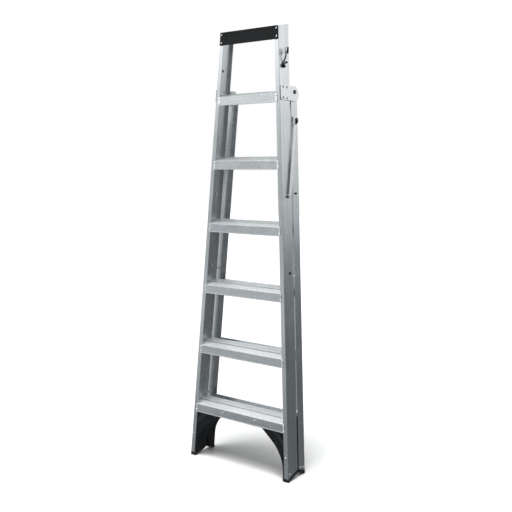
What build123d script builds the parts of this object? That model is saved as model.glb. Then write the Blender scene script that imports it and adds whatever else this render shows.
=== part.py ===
from build123d import *
import os
from math import acos, asin, atan, atan2, cos, degrees, hypot, radians, sin, sqrt, tan

# Combination ladder: a step ladder whose rear section swings over to make one long ladder.
#
# Millimetres, +Z up, the treads face -Y. The ladder stands closed on its four feet.
# Depth d is counted rearwards from the front face of the front rails, height Z from the floor.
# The side rails lean inwards, so hardware on them is placed on the inclined web:
# depth d, distance s along the web and distance u out of it.

# ---------------------------------------------------------------- driving dimensions
TREAD_PITCH = 300.0            # height from tread to tread
TREAD_Z = [268.0 + TREAD_PITCH * i for i in range(6)]    # front top edge of each front tread
REAR_TREAD_Z = TREAD_Z[:5]     # the rear treads stand level with the five lower front treads
HALF_BASE = 292.0              # outer half width of the front section at the floor
LEAN = 0.0628                  # inward lean of a rail per millimetre of height
CENTRE_D = 75.6                # depth that lies on the Y axis origin

RAIL_D = 83.6                  # front rail depth
RAIL_WEB = 2.4
RAIL_FLANGE_T = 2.6
FRONT_FLANGE = 22.0            # width of the front rail's front flange
REAR_FLANGE = 16.5             # width of the rails' rear flanges
RAIL_TOP_Z = 2065.0            # front corner of the slanted rail top

R_D0, R_D1 = 99.0, 152.5       # rear rail, front and rear face
R_INSET = 4.0                  # rear webs lie this far inside the front webs
R_WEB = 2.4
R_FLANGE_T = 2.4
R_TOP_Z = 1813.0               # top end of the rear rails

TREAD_SLOPE = 16.5             # treads and front soles, degrees
TREAD_WALL = 40.5              # height of a tread's front wall
TREAD_T = 2.2                  # tread wall thickness
RIB_H = 0.7                    # grip ribs on the tread
REAR_WALL = 21.0               # height of a rear tread's front wall

PIVOT_D, PIVOT_Z = 120.0, 1788.0       # hinge between the sections
PLATE_T = 3.5                  # hinge plate
STAY_PIVOT_D, STAY_PIVOT_Z = 52.0, 1311.0
STAY_STUD_D, STAY_STUD_Z = 121.0, 1324.0
STAY_TILT = 9.1                # parked stay, degrees behind upright
STAY_FRONT, STAY_REAR = 7.0, 17.0      # stay bar edges before and behind the pivot's line
STAY_EYE = 11.0                # round end of the stay about its pivot
STAY_T = 2.8                   # stay bar thickness
STAY_U = 5.9                   # inner face of the stay bar above the front web
HOOK_U = 2.4                   # inner face of the cranked hook end
STUD_R = 3.4
NOTCH_W = STUD_R + 0.6         # half width of the hook's notch
CATCH_D, CATCH_Z = 141.0, 1665.0       # catch roller on the rear web
CATCH_R = 6.0
LATCH_D, LATCH_Z = 32.0, 1895.0        # latch pivot on the front web
LATCH_REST = 89.0              # upright lever, degrees from straight back
LATCH_X0, LATCH_T = 184.6, 2.4         # inner face of the lever's fork, thickness of the lever
EYE_X0 = 174.4                 # inner face of the lever's eye
FOOT_T = 15.0                  # rubber under the rail ends
PLUG_H = 42.0                  # foot plug height above the sole
RIVET_R = 2.4
HOLE_R = 2.5

# ---------------------------------------------------------------- derived values
G = atan(LEAN)
CG, SG = cos(G), sin(G)
TA = tan(radians(TREAD_SLOPE))
SA, CA = sin(radians(TREAD_SLOPE)), cos(radians(TREAD_SLOPE))
UP = (-LEAN, 0, 1)             # run of the right rails
SOLE_D0 = -0.5                 # front edge of the front soles
SOLE_D1 = R_D1 + 0.5           # rear edge of the rear soles
# slope of the rear soles: both sections stand flat when the ladder is spread
pivot_h = PIVOT_Z * CA - (PIVOT_D - SOLE_D0) * SA
rear_run = SOLE_D1 - PIVOT_D
REAR_SLOPE = acos(pivot_h / hypot(PIVOT_Z, rear_run)) - atan2(rear_run, PIVOT_Z)
TB = tan(REAR_SLOPE)
SPREAD = radians(TREAD_SLOPE) + REAR_SLOPE     # opening angle of the spread ladder


def w(z):
    """Outer half width of the front section at height z."""
    return HALF_BASE - LEAN * z


def wr(z):
    """Outer half width of the rear section at height z."""
    return w(z) - R_INSET / CG


def plan(z):
    """Level plane: local x = X, local y = depth."""
    return Plane(origin=(0, -CENTRE_D, z))


def front(d):
    """Upright plane at depth d: local x = X, local y = Z, normal to the front."""
    return Plane(origin=(0, d - CENTRE_D, 0), x_dir=(1, 0, 0), z_dir=(0, -1, 0))


def cross(x):
    """Upright plane at X: local x = depth, local y = Z, normal to +X."""
    return Plane(origin=(x, -CENTRE_D, 0), x_dir=(0, 1, 0), z_dir=(1, 0, 0))


def web(u, side=1):
    """Plane parallel to a front web, u outside it: local x = depth, local y = s."""
    return Plane(origin=(side * (HALF_BASE + u * CG), -CENTRE_D, u * SG),
                 x_dir=(0, 1, 0), z_dir=(side * CG, 0, SG))


def on_web(d, s, u, side=1):
    """Placement on a web with its axis along the outward normal."""
    return Plane(origin=(side * (HALF_BASE - s * SG + u * CG), d - CENTRE_D, s * CG + u * SG),
                 x_dir=(0, 1, 0), z_dir=(side * CG, 0, SG)).location


def facing(x, d, z, y_sign):
    """Placement with its axis along Y: -1 faces the front, +1 the rear."""
    return Plane(origin=(x, d - CENTRE_D, z), x_dir=(1, 0, 0), z_dir=(0, y_sign, 0)).location


def sideways(x, d, z, side):
    """Placement with its axis along X, outwards."""
    return Plane(origin=(side * x, d - CENTRE_D, z), x_dir=(0, 1, 0), z_dir=(side, 0, 0)).location


def along(z):
    """Distance s along the web of a point at height z."""
    return z / CG


def both_sides(points):
    return [(x, z) for x, z in points] + [(-x, z) for x, z in points]


def rivet(grip, head_r=4.2, head_h=2.0, shank_r=RIVET_R, tail_r=3.6, tail_h=1.6):
    """Domed rivet along +Z: head above 0, grip below, upset tail under the grip."""
    rim = 0.2 * head_h
    ball = (head_r ** 2 + (head_h - rim) ** 2) / (2 * (head_h - rim))      # radius of the dome
    half = asin(head_r / ball) / 2
    with BuildPart() as body:
        with BuildSketch(Plane.XZ):
            with BuildLine():
                Polyline((0, head_h), (0, -grip - tail_h), (0.7 * tail_r, -grip - tail_h),
                         (tail_r, -grip - 0.5 * tail_h), (tail_r, -grip), (shank_r, -grip),
                         (shank_r, 0), (head_r, 0), (head_r, rim))
                ThreePointArc((head_r, rim), (ball * sin(half), head_h - ball + ball * cos(half)), (0, head_h))
            make_face()
        revolve(axis=Axis.Z)
    return body.part


def turned(profile):
    """Turned piece about +Z from (radius, height) points."""
    with BuildPart() as body:
        with BuildSketch(Plane.XZ):
            with BuildLine():
                Polyline(*profile, close=True)
            make_face()
        revolve(axis=Axis.Z)
    return body.part


# stay geometry: where the rear stud stands when the ladder is spread
def spread_stud():
    s, u = along(STAY_STUD_Z), -1.6
    x = HALF_BASE - s * SG + u * CG
    z = s * CG + u * SG
    dy, dz = STAY_STUD_D - PIVOT_D, z - PIVOT_Z
    d2 = PIVOT_D + dy * cos(SPREAD) - dz * sin(SPREAD)
    z2 = PIVOT_Z + dy * sin(SPREAD) + dz * cos(SPREAD)
    s2 = -(x - HALF_BASE) * SG + z2 * CG
    return d2, s2


STAY_PIVOT_S = along(STAY_PIVOT_Z)
stud_d2, stud_s2 = spread_stud()
STAY_REACH = hypot(stud_d2 - STAY_PIVOT_D, stud_s2 - STAY_PIVOT_S)
NOTCH_T = 6.0                                   # notch centre behind the bar's centre line
NOTCH_R = sqrt(STAY_REACH ** 2 - NOTCH_T ** 2)  # notch centre along the bar
PARK_D, PARK_S = STAY_PIVOT_D, STAY_PIVOT_S - STAY_REACH
GRIP_RIVET = (17.5, NOTCH_R + 9.2)              # rivet of the moulded grip on the hook

# latch geometry: the catch roller after the rear section has swung right over
CAUGHT_D, CAUGHT_Z = 2 * PIVOT_D - CATCH_D, 2 * PIVOT_Z - CATCH_Z
FORK_R = hypot(CAUGHT_D - LATCH_D, CAUGHT_Z - LATCH_Z)

FOOT_RIVET_D, FOOT_RIVET_Z = 15.0, 36.0
REAR_FOOT_RIVETS = [(113.0, 40.0), (139.0, 34.0)]
PLATE_RIVETS = [(23.0, 1799.0), (55.0, 1800.0), (23.0, 1751.0), (54.0, 1751.0)]
STOP_D, STOP_Z = 59.0, 1912.0
BUTTON_Z = [945.0, 310.0]
BRACE_Z0, BRACE_Z1 = 2006.5, 2066.4
BRACE_RIVETS = [(w(2054.0) - 10.0, 2054.0), (w(2018.0) - 10.0, 2018.0)]
GUSSET_RIVET = (w(114.0) - 11.0, 114.0)
REAR_GUSSET_RIVETS = [(wr(110.0) - 11.0, 110.0), (wr(190.0) - 11.0, 190.0)]
ARM_RIVET = (95.0, 254.0)

TAB_END, TAB_RIVET = 14.2, 18.2         # tread tabs: end and rivets, from the rail's outer face
tread_front_rivets = [(w(z - 9) - TAB_RIVET, z - 9) for z in TREAD_Z] + \
                     [(w(z - 31) - TAB_RIVET, z - 31) for z in TREAD_Z]
tread_rear_rivets = [(w(z + 16) - 8.5, z + 16) for z in TREAD_Z] + \
                    [(w(z + 3) - 8.5, z + 3) for z in TREAD_Z]
rear_tread_rear_rivets = [(wr(z + 8) - 9.5, z + 8) for z in REAR_TREAD_Z] + \
                         [(wr(z - 5) - 9.5, z - 5) for z in REAR_TREAD_Z]
rear_tread_front_rivets = [(wr(z - 13.3) - 12.0, z - 13.3) for z in REAR_TREAD_Z] + \
                          [(wr(z - 22) - 12.0, z - 22) for z in REAR_TREAD_Z]

os.makedirs("parts", exist_ok=True)


# ---------------------------------------------------------------- front section: rails
def sole_z(d):
    return (d - SOLE_D0) * TA


def rear_sole_z(d):
    return (SOLE_D1 - d) * TB


with BuildPart() as front_rail_right:
    x0 = w(-60)
    with BuildSketch(plan(-60)) as sk:
        with BuildLine():
            Polyline((x0, 0), (x0, RAIL_D), (x0 - REAR_FLANGE, RAIL_D),
                     (x0 - REAR_FLANGE, RAIL_D - RAIL_FLANGE_T),
                     (x0 - RAIL_WEB, RAIL_D - RAIL_FLANGE_T), (x0 - RAIL_WEB, RAIL_FLANGE_T),
                     (x0 - FRONT_FLANGE, RAIL_FLANGE_T), (x0 - FRONT_FLANGE, 0), close=True)
        make_face()
        for corner, radius in [((x0, 0), 1.8), ((x0, RAIL_D), 2.2),
                               ((x0 - RAIL_WEB, RAIL_D - RAIL_FLANGE_T), 0.8),
                               ((x0 - RAIL_WEB, RAIL_FLANGE_T), 0.8),
                               ((x0 - FRONT_FLANGE, 0), 1.0), ((x0 - REAR_FLANGE, RAIL_D), 1.0)]:
            fillet(sk.vertices().sort_by_distance(corner)[0], radius)
    extrude(amount=2250 / CG, dir=UP)
    # slanted ends
    with BuildSketch(cross(0)):
        with BuildLine():
            Polyline((-6, sole_z(-6) + FOOT_T), (RAIL_D + 6, sole_z(RAIL_D + 6) + FOOT_T),
                     (RAIL_D + 6, RAIL_TOP_Z + (RAIL_D + 6) * TA), (-6, RAIL_TOP_Z - 6 * TA), close=True)
        make_face()
    extrude(amount=420, mode=Mode.INTERSECT)
    # rivet holes through the flanges
    with BuildSketch(front(5)):
        with Locations(*tread_front_rivets, *BRACE_RIVETS, GUSSET_RIVET):
            Circle(HOLE_R)
    extrude(amount=10, mode=Mode.SUBTRACT)
    with BuildSketch(front(RAIL_D + 5)):
        with Locations(*tread_rear_rivets, *[(w(z) - 8.5, z) for z in BUTTON_Z]):
            Circle(HOLE_R)
    extrude(amount=10, mode=Mode.SUBTRACT)
    # holes through the web
    with BuildSketch(web(3)):
        with Locations((FOOT_RIVET_D, along(FOOT_RIVET_Z)), *[(d, along(z)) for d, z in PLATE_RIVETS],
                       (STOP_D, along(STOP_Z))):
            Circle(HOLE_R)
        with Locations((STAY_PIVOT_D, STAY_PIVOT_S), (PARK_D, PARK_S)):
            Circle(4.1)
    extrude(amount=-8, mode=Mode.SUBTRACT)
    with BuildSketch(cross(150)):
        with Locations((LATCH_D, LATCH_Z)):
            Circle(4.1)
    extrude(amount=40, mode=Mode.SUBTRACT)
front_rail_right.part.label = "front_rail_right"
export_step(front_rail_right.part, "parts/front_rail_right.step")

with BuildPart() as front_rail_left:
    mirror(front_rail_right.part, about=Plane.YZ)
front_rail_left.part.label = "front_rail_left"
export_step(front_rail_left.part, "parts/front_rail_left.step")


# ---------------------------------------------------------------- front section: treads
def tread_outline(z0):
    """Section of a front tread: ribbed top, vertical front wall with a hem, rear wall."""
    d_front, d_rear = -TREAD_T, RAIL_D - RAIL_FLANGE_T - 0.2

    def top(d, h=0.0):
        return (d, z0 + (d - d_front) * TA + h / CA)

    pts = [(d_front - 0.8, z0 - TREAD_WALL), (d_front - 0.8, z0 - TREAD_WALL + 2.4),
           (d_front, z0 - TREAD_WALL + 3.2), (d_front, z0)]
    ribs = [4.0 + 6.1 * i for i in range(12)]
    for r in ribs:
        if 38.0 < r < 45.0:
            # deep central groove between the two halves of the tread
            pts += [top(r - 2.2), top(r - 2.2, -3.4), top(r + 4.2, -3.4), top(r + 4.2)]
            continue
        pts += [top(r), top(r + 0.5, RIB_H), top(r + 2.4, RIB_H), top(r + 2.9)]
    zr = top(d_rear)[1]
    pts += [top(d_rear), (d_rear, zr - TREAD_WALL), (d_rear - TREAD_T, zr - TREAD_WALL),
            top(d_rear - TREAD_T, -2.4), top(47.4, -2.4), top(46.9, -5.6), top(36.3, -5.6), top(35.8, -2.4),
            top(0.0, -2.4), (0.0, z0 - TREAD_WALL)]
    return pts


for number, z0 in enumerate(reversed(TREAD_Z), start=1):
    base = z0 - 70
    with BuildPart() as front_tread:
        # right half
        with BuildSketch(cross(0)) as sk:
            with BuildLine():
                Polyline(*tread_outline(z0), close=True)
            make_face()
            fillet(sk.vertices().sort_by_distance((-TREAD_T, z0))[0], 2.4)
        extrude(amount=320)
        # the end follows the leaning web and is notched around the flanges
        xb = w(base)
        with BuildSketch(plan(base)):
            with BuildLine():
                Polyline((xb - RAIL_WEB - 0.5, -10), (420, -10), (420, 95),
                         (xb - RAIL_WEB - 0.5, 95), close=True)
            make_face()
            with BuildLine():
                Polyline((xb - FRONT_FLANGE - 0.5, 0), (420, 0), (420, RAIL_FLANGE_T + 0.2),
                         (xb - FRONT_FLANGE - 0.5, RAIL_FLANGE_T + 0.2), close=True)
            make_face()
            with BuildLine():
                Polyline((xb - TAB_END, -10), (420, -10), (420, 0.5), (xb - TAB_END, 0.5), close=True)
            make_face()
        extrude(amount=160, dir=UP, mode=Mode.SUBTRACT)
        # rivet holes
        with BuildSketch(front(3)):
            with Locations((w(z0 - 9) - TAB_RIVET, z0 - 9), (w(z0 - 31) - TAB_RIVET, z0 - 31)):
                Circle(HOLE_R)
            if number == 6:
                with Locations(ARM_RIVET):
                    Circle(HOLE_R)
        extrude(amount=10, mode=Mode.SUBTRACT)
        with BuildSketch(front(RAIL_D)):
            with Locations((w(z0 + 16) - 8.5, z0 + 16), (w(z0 + 3) - 8.5, z0 + 3)):
                Circle(HOLE_R)
        extrude(amount=8, mode=Mode.SUBTRACT)
        # left half
        mirror(about=Plane.YZ)
    front_tread.part.label = f"front_tread_{number}"
    export_step(front_tread.part, f"parts/front_tread_{number}.step")

# rivets of the treads, front tabs and rear walls
tab_rivet = rivet(TREAD_T + RAIL_FLANGE_T, head_r=3.8, tail_r=3.4)
wall_rivet = rivet(TREAD_T + RAIL_FLANGE_T + 0.2, head_h=1.8)
with BuildPart() as front_tread_rivets:
    with Locations(*[facing(x, -TREAD_T, z, -1) for x, z in both_sides(tread_front_rivets)]):
        add(tab_rivet)
    with Locations(*[facing(x, RAIL_D, z, 1) for x, z in both_sides(tread_rear_rivets)]):
        add(wall_rivet)
front_tread_rivets.part.label = "front_tread_rivets"
export_step(front_tread_rivets.part, "parts/front_tread_rivets.step")

# ---------------------------------------------------------------- front section: top brace
with BuildPart() as top_brace:
    with BuildSketch(front(0)) as sk:
        with BuildLine():
            Polyline((0, BRACE_Z0), (w(BRACE_Z0) - 0.6, BRACE_Z0), (w(BRACE_Z1) - 0.6, BRACE_Z1),
                     (0, BRACE_Z1), close=True)
        make_face()
        fillet(sk.vertices().sort_by_distance((w(BRACE_Z0), BRACE_Z0))[0], 5)
        fillet(sk.vertices().sort_by_distance((w(BRACE_Z1), BRACE_Z1))[0], 5)
    extrude(amount=3.5)
    # returns along the top and bottom edges, between the flanges
    for z_low, z_high, depth in [(BRACE_Z0 + 4, BRACE_Z0 + 7, 10), (BRACE_Z1 - 3, BRACE_Z1, 18)]:
        with BuildSketch(front(depth)):
            with BuildLine():
                Polyline((0, z_low), (w(z_low) - FRONT_FLANGE - 1, z_low),
                         (w(z_high) - FRONT_FLANGE - 1, z_high), (0, z_high), close=True)
            make_face()
        extrude(amount=depth)
    # a shallow bevelled field on the face
    with BuildSketch(front(-3.5)) as sk:
        with BuildLine():
            Polyline((0, BRACE_Z0 + 9), (w(BRACE_Z0) - 34, BRACE_Z0 + 9),
                     (w(BRACE_Z1) - 34, BRACE_Z1 - 9), (0, BRACE_Z1 - 9), close=True)
        make_face()
    extrude(amount=-0.8, mode=Mode.SUBTRACT)
    with BuildSketch(front(5)):
        with Locations(*BRACE_RIVETS):
            Circle(HOLE_R)
    extrude(amount=12, mode=Mode.SUBTRACT)
    mirror(about=Plane.YZ)
top_brace.part.label = "top_brace"
export_step(top_brace.part, "parts/top_brace.step")

brace_rivet = rivet(3.5 + RAIL_FLANGE_T)
with BuildPart() as top_brace_rivets:
    with Locations(*[facing(x, -3.5, z, -1) for x, z in both_sides(BRACE_RIVETS)]):
        add(brace_rivet)
top_brace_rivets.part.label = "top_brace_rivets"
export_step(top_brace_rivets.part, "parts/top_brace_rivets.step")


# ---------------------------------------------------------------- corner gussets
def gusset_edge(cx, cz, r, leave, skin, foot_z, reach):
    """Corners of the hollow curve from under the tread down to the foot, moved out by skin."""
    na = radians(leave)                       # where the straight run leaves the arc
    bx, bz = cx + (r + skin) * cos(na), cz + (r + skin) * sin(na)
    ax, az = bx - reach * sin(na), bz + reach * cos(na)
    mx, mz = cx + (r + skin) * cos(na / 2), cz + (r + skin) * sin(na / 2)
    ccx = cx + r + skin
    return (ax, az), (bx, bz), (mx, mz), (ccx, cz), (ccx + LEAN * (cz - foot_z), foot_z)


F_ARC = (76.0, 35.0, 183.0, 50.0)       # front gussets: centre X, centre Z, radius, angle of the arc
R_ARC = (122.0, 75.0, 135.0, 44.0)      # the same for the rear gussets
F_TREAD_GAP = TREAD_Z[0] - TREAD_WALL - 0.6


def front_gusset_top(d):
    return F_TREAD_GAP + (d + TREAD_T) * TA


def rear_gusset_top(d):
    return REAR_TREAD_Z[0] - 14.0 - 1.4 + (d - R_D1 - TREAD_T) * TA


with BuildPart() as front_gusset_hollow:
    a, b, m, c, e = gusset_edge(*F_ARC, 3.5, 20.0, 140.0)
    with BuildSketch(front(100)):
        with BuildLine():
            Line(a, b)
            ThreePointArc(b, m, c)
            Polyline(c, e, (w(20) - RAIL_WEB - 3.5, 20), (w(320) - RAIL_WEB - 3.5, 320), (a[0], 320), a)
        make_face()
    extrude(amount=94)
    with BuildSketch(cross(0)):
        with BuildLine():
            Polyline((0, sole_z(0) + PLUG_H + 4), (110, sole_z(110) + PLUG_H + 4),
                     (110, front_gusset_top(110) - 3.5), (0, front_gusset_top(0) - 3.5), close=True)
        make_face()
    extrude(amount=320, mode=Mode.INTERSECT)

with BuildPart() as front_gusset_right:
    a, b, m, c, e = gusset_edge(*F_ARC, 0.0, 20.0, 140.0)
    d0, d1 = 3.0, RAIL_D - RAIL_FLANGE_T - 2.6
    with BuildSketch(front(d1)):
        with BuildLine():
            Line(a, b)
            ThreePointArc(b, m, c)
            Polyline(c, e, (w(20) - RAIL_WEB - 0.4, 20), (w(320) - RAIL_WEB - 0.4, 320), (a[0], 320), a)
        make_face()
    extrude(amount=d1 - d0)
    with BuildSketch(cross(0)):
        with BuildLine():
            Polyline((-10, sole_z(-10) + PLUG_H + 0.5), (110, sole_z(110) + PLUG_H + 0.5),
                     (110, front_gusset_top(110)), (-10, front_gusset_top(-10)), close=True)
        make_face()
    extrude(amount=320, mode=Mode.INTERSECT)
    add(front_gusset_hollow.part, mode=Mode.SUBTRACT)
    # ribs that run round the curve
    with BuildSketch(front(3.2)):
        with Locations(F_ARC[:2]):
            Circle(235.5)
            Circle(232.5, mode=Mode.SUBTRACT)
            Circle(226.0)
            Circle(223.0, mode=Mode.SUBTRACT)
        with BuildLine():
            Polyline((180, 225), (w(225) - FRONT_FLANGE - 0.8, 225), (w(150) - FRONT_FLANGE - 0.8, 150), close=True)
        make_face(mode=Mode.INTERSECT)
    extrude(amount=1.8)
    # arm behind the tread's front wall
    with BuildSketch(front(4.2)) as sk:
        with BuildLine():
            Polyline((84, 231), (84, 262), (150, 262), (150, 214), (134, 227), (128, 231), close=True)
        make_face()
        fillet(sk.vertices().sort_by_distance((84, 231))[0], 5)
        fillet(sk.vertices().sort_by_distance((84, 262))[0], 5)
    extrude(amount=3.8)
    with BuildSketch(front(10)):
        with Locations(ARM_RIVET, GUSSET_RIVET):
            Circle(HOLE_R)
    extrude(amount=12, mode=Mode.SUBTRACT)
front_gusset_right.part.label = "front_gusset_right"
export_step(front_gusset_right.part, "parts/front_gusset_right.step")

with BuildPart() as front_gusset_left:
    mirror(front_gusset_right.part, about=Plane.YZ)
front_gusset_left.part.label = "front_gusset_left"
export_step(front_gusset_left.part, "parts/front_gusset_left.step")

arm_rivet = rivet(TREAD_T + 4.2)
flange_rivet = rivet(6.0)
with BuildPart() as front_gusset_rivets:
    with Locations(*[facing(x, -TREAD_T, z, -1) for x, z in both_sides([ARM_RIVET])]):
        add(arm_rivet)
    with Locations(*[facing(x, 0, z, -1) for x, z in both_sides([GUSSET_RIVET])]):
        add(flange_rivet)
front_gusset_rivets.part.label = "front_gusset_rivets"
export_step(front_gusset_rivets.part, "parts/front_gusset_rivets.step")

# ---------------------------------------------------------------- front feet
# the plug stands inside the rail's channel
with BuildPart() as front_foot_plug:
    x0 = w(-60)
    with BuildSketch(plan(-60)):
        with BuildLine():
            Polyline((x0 - 30.4, RAIL_FLANGE_T + 0.4), (x0 - RAIL_WEB - 0.4, RAIL_FLANGE_T + 0.4),
                     (x0 - RAIL_WEB - 0.4, RAIL_D - RAIL_FLANGE_T - 2.6),
                     (x0 - 30.4, RAIL_D - RAIL_FLANGE_T - 2.6), close=True)
        make_face()
    extrude(amount=200, dir=UP)
    with BuildSketch(cross(0)):
        with BuildLine():
            Polyline((-6, sole_z(-6) + 4), (90, sole_z(90) + 4), (90, sole_z(90) + PLUG_H),
                     (-6, sole_z(-6) + PLUG_H), close=True)
        make_face()
    extrude(amount=420, mode=Mode.INTERSECT)

with BuildPart() as front_foot_right:
    x0 = w(-60)
    with BuildSketch(plan(-60)) as sk:
        with BuildLine():
            Polyline((x0 - 31.2, SOLE_D0), (x0 + 0.7, SOLE_D0), (x0 + 0.7, RAIL_D + 0.5),
                     (x0 - 31.2, RAIL_D + 0.5), close=True)
        make_face()
        fillet(sk.vertices(), 2.5)
    extrude(amount=160, dir=UP)
    with BuildSketch(cross(0)):
        with BuildLine():
            Polyline((-6, sole_z(-6)), (90, sole_z(90)), (90, sole_z(90) + FOOT_T - 0.1),
                     (-6, sole_z(-6) + FOOT_T - 0.1), close=True)
        make_face()
    extrude(amount=420, mode=Mode.INTERSECT)
    add(front_foot_plug.part)
    with BuildSketch(web(3)):
        with Locations((FOOT_RIVET_D, along(FOOT_RIVET_Z))):
            Circle(4.0)
    extrude(amount=-14, mode=Mode.SUBTRACT)
front_foot_right.part.label = "front_foot_right"
export_step(front_foot_right.part, "parts/front_foot_right.step")

with BuildPart() as front_foot_left:
    mirror(front_foot_right.part, about=Plane.YZ)
front_foot_left.part.label = "front_foot_left"
export_step(front_foot_left.part, "parts/front_foot_left.step")

web_rivet = rivet(RAIL_WEB + 0.5, tail_h=5.0)
with BuildPart() as front_foot_rivets:
    with Locations(on_web(FOOT_RIVET_D, along(FOOT_RIVET_Z), 0, 1),
                   on_web(FOOT_RIVET_D, along(FOOT_RIVET_Z), 0, -1)):
        add(web_rivet)
front_foot_rivets.part.label = "front_foot_rivets"
export_step(front_foot_rivets.part, "parts/front_foot_rivets.step")

# ---------------------------------------------------------------- hinge plates
HEAD_X = w(PIVOT_Z) + PLATE_T - 0.75        # seat of the hinge bolt's head, square to the axis
with BuildPart() as hinge_plate_right:
    with BuildSketch(web(0)) as sk:
        with BuildLine():
            Line((119, along(1746)), (9, along(1740)))
            Line((9, along(1740)), (2, along(1747)))
            Line((2, along(1747)), (2, along(1803)))
            Line((2, along(1803)), (119, along(1814)))
            ThreePointArc((119, along(1814)), (153, along(1780)), (119, along(1746)))
        make_face()
        fillet(sk.vertices().sort_by_distance((2, along(1803)))[0], 4)
    extrude(amount=PLATE_T)
    with BuildSketch(web(6)):
        with Locations(*[(d, along(z)) for d, z in PLATE_RIVETS]):
            Circle(HOLE_R)
    extrude(amount=-12, mode=Mode.SUBTRACT)
    # spot face and hole for the hinge bolt
    with BuildSketch(cross(HEAD_X)):
        with Locations((PIVOT_D, PIVOT_Z)):
            Circle(10.5)
    extrude(amount=20, mode=Mode.SUBTRACT)
    with BuildSketch(cross(150)):
        with Locations((PIVOT_D, PIVOT_Z)):
            Circle(5.05)
    extrude(amount=60, mode=Mode.SUBTRACT)
hinge_plate_right.part.label = "hinge_plate_right"
export_step(hinge_plate_right.part, "parts/hinge_plate_right.step")

with BuildPart() as hinge_plate_left:
    mirror(hinge_plate_right.part, about=Plane.YZ)
hinge_plate_left.part.label = "hinge_plate_left"
export_step(hinge_plate_left.part, "parts/hinge_plate_left.step")

plate_rivet = rivet(PLATE_T + RAIL_WEB, head_r=4.6, head_h=2.2)
with BuildPart() as hinge_plate_rivets:
    with Locations(*[on_web(d, along(z), PLATE_T, side) for d, z in PLATE_RIVETS for side in (1, -1)]):
        add(plate_rivet)
hinge_plate_rivets.part.label = "hinge_plate_rivets"
export_step(hinge_plate_rivets.part, "parts/hinge_plate_rivets.step")

# hinge bolt with a round head and a hexagon socket
with BuildPart() as hinge_bolt:
    with BuildSketch(Plane.XZ):
        with BuildLine():
            Polyline((0, 5.2), (0, -22.5), (4.2, -22.5), (5.0, -21.7), (5.0, 0), (9.5, 0), (9.5, 2.6),
                     (7.6, 5.2), close=True)
        make_face()
    revolve(axis=Axis.Z)
    with BuildSketch(Plane.XY.offset(5.2)):
        RegularPolygon(radius=4.3, side_count=6)
    extrude(amount=-3.2, mode=Mode.SUBTRACT)
with BuildPart() as hinge_bolts:
    with Locations(sideways(HEAD_X, PIVOT_D, PIVOT_Z, 1), sideways(HEAD_X, PIVOT_D, PIVOT_Z, -1)):
        add(hinge_bolt.part)
hinge_bolts.part.label = "hinge_bolts"
export_step(hinge_bolts.part, "parts/hinge_bolts.step")

# locking nut with its flange, inside the rear rail
NUT_X = wr(PIVOT_Z) - R_WEB - 1.1
with BuildPart() as hinge_nut:
    with BuildSketch():
        Circle(10.0)
    extrude(amount=-1.8)
    with BuildSketch(Plane.XY.offset(-1.8)):
        RegularPolygon(radius=9.2, side_count=6)
    extrude(amount=-7.4)
    with BuildSketch():
        Circle(5.05)
    extrude(amount=-20, mode=Mode.SUBTRACT)
with BuildPart() as hinge_nuts:
    with Locations(sideways(NUT_X, PIVOT_D, PIVOT_Z, 1), sideways(NUT_X, PIVOT_D, PIVOT_Z, -1)):
        add(hinge_nut.part)
hinge_nuts.part.label = "hinge_nuts"
export_step(hinge_nuts.part, "parts/hinge_nuts.step")

# thin washer between hinge plate and rear rail
WASHER_X = w(PIVOT_Z) - 1.9
hinge_washer = turned([(5.1, 0), (9.0, 0), (9.0, 1.2), (5.1, 1.2)])
with BuildPart() as hinge_washers:
    with Locations(sideways(WASHER_X, PIVOT_D, PIVOT_Z, 1), sideways(WASHER_X, PIVOT_D, PIVOT_Z, -1)):
        add(hinge_washer)
hinge_washers.part.label = "hinge_washers"
export_step(hinge_washers.part, "parts/hinge_washers.step")

# ---------------------------------------------------------------- stay pivots and parking studs
stay_pivot = turned([(0, -RAIL_WEB - 2.0), (7.0, -RAIL_WEB - 2.0), (7.0, -RAIL_WEB), (4.0, -RAIL_WEB),
                     (4.0, 0), (8.0, 0), (8.0, STAY_U - 0.3), (4.0, STAY_U - 0.3),
                     (4.0, STAY_U + STAY_T + 0.3), (5.6, STAY_U + STAY_T + 0.3),
                     (5.6, STAY_U + STAY_T + 0.8), (4.2, STAY_U + STAY_T + 1.7), (0, STAY_U + STAY_T + 2.0)])
with BuildPart() as stay_pivots:
    with Locations(on_web(STAY_PIVOT_D, STAY_PIVOT_S, 0, 1), on_web(STAY_PIVOT_D, STAY_PIVOT_S, 0, -1)):
        add(stay_pivot)
stay_pivots.part.label = "stay_pivots"
export_step(stay_pivots.part, "parts/stay_pivots.step")

parking_stud = turned([(0, -RAIL_WEB - 1.6), (6.0, -RAIL_WEB - 1.6), (6.0, -RAIL_WEB), (4.0, -RAIL_WEB),
                       (4.0, 0), (8.0, 0), (8.0, 1.4), (7.2, 2.1), (STUD_R, 2.1), (STUD_R, 4.0), (STUD_R - 0.8, 4.7), (0, 4.7)])
with BuildPart() as parking_studs:
    with Locations(on_web(PARK_D, PARK_S, 0, 1), on_web(PARK_D, PARK_S, 0, -1)):
        add(parking_stud)
parking_studs.part.label = "parking_studs"
export_step(parking_studs.part, "parts/parking_studs.step")

# ---------------------------------------------------------------- latch pivots, spacers and stops
latch_pivot = turned([(0, -7.4), (6.5, -7.4), (6.5, -5.0), (4.0, -5.0), (4.0, LATCH_T + 9.4),
                      (7.0, LATCH_T + 9.4), (7.0, LATCH_T + 10.2), (5.0, LATCH_T + 11.4), (0, LATCH_T + 11.8)])
with BuildPart() as latch_pivots:
    with Locations(sideways(EYE_X0, LATCH_D, LATCH_Z, 1), sideways(EYE_X0, LATCH_D, LATCH_Z, -1)):
        add(latch_pivot)
latch_pivots.part.label = "latch_pivots"
export_step(latch_pivots.part, "parts/latch_pivots.step")

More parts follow.
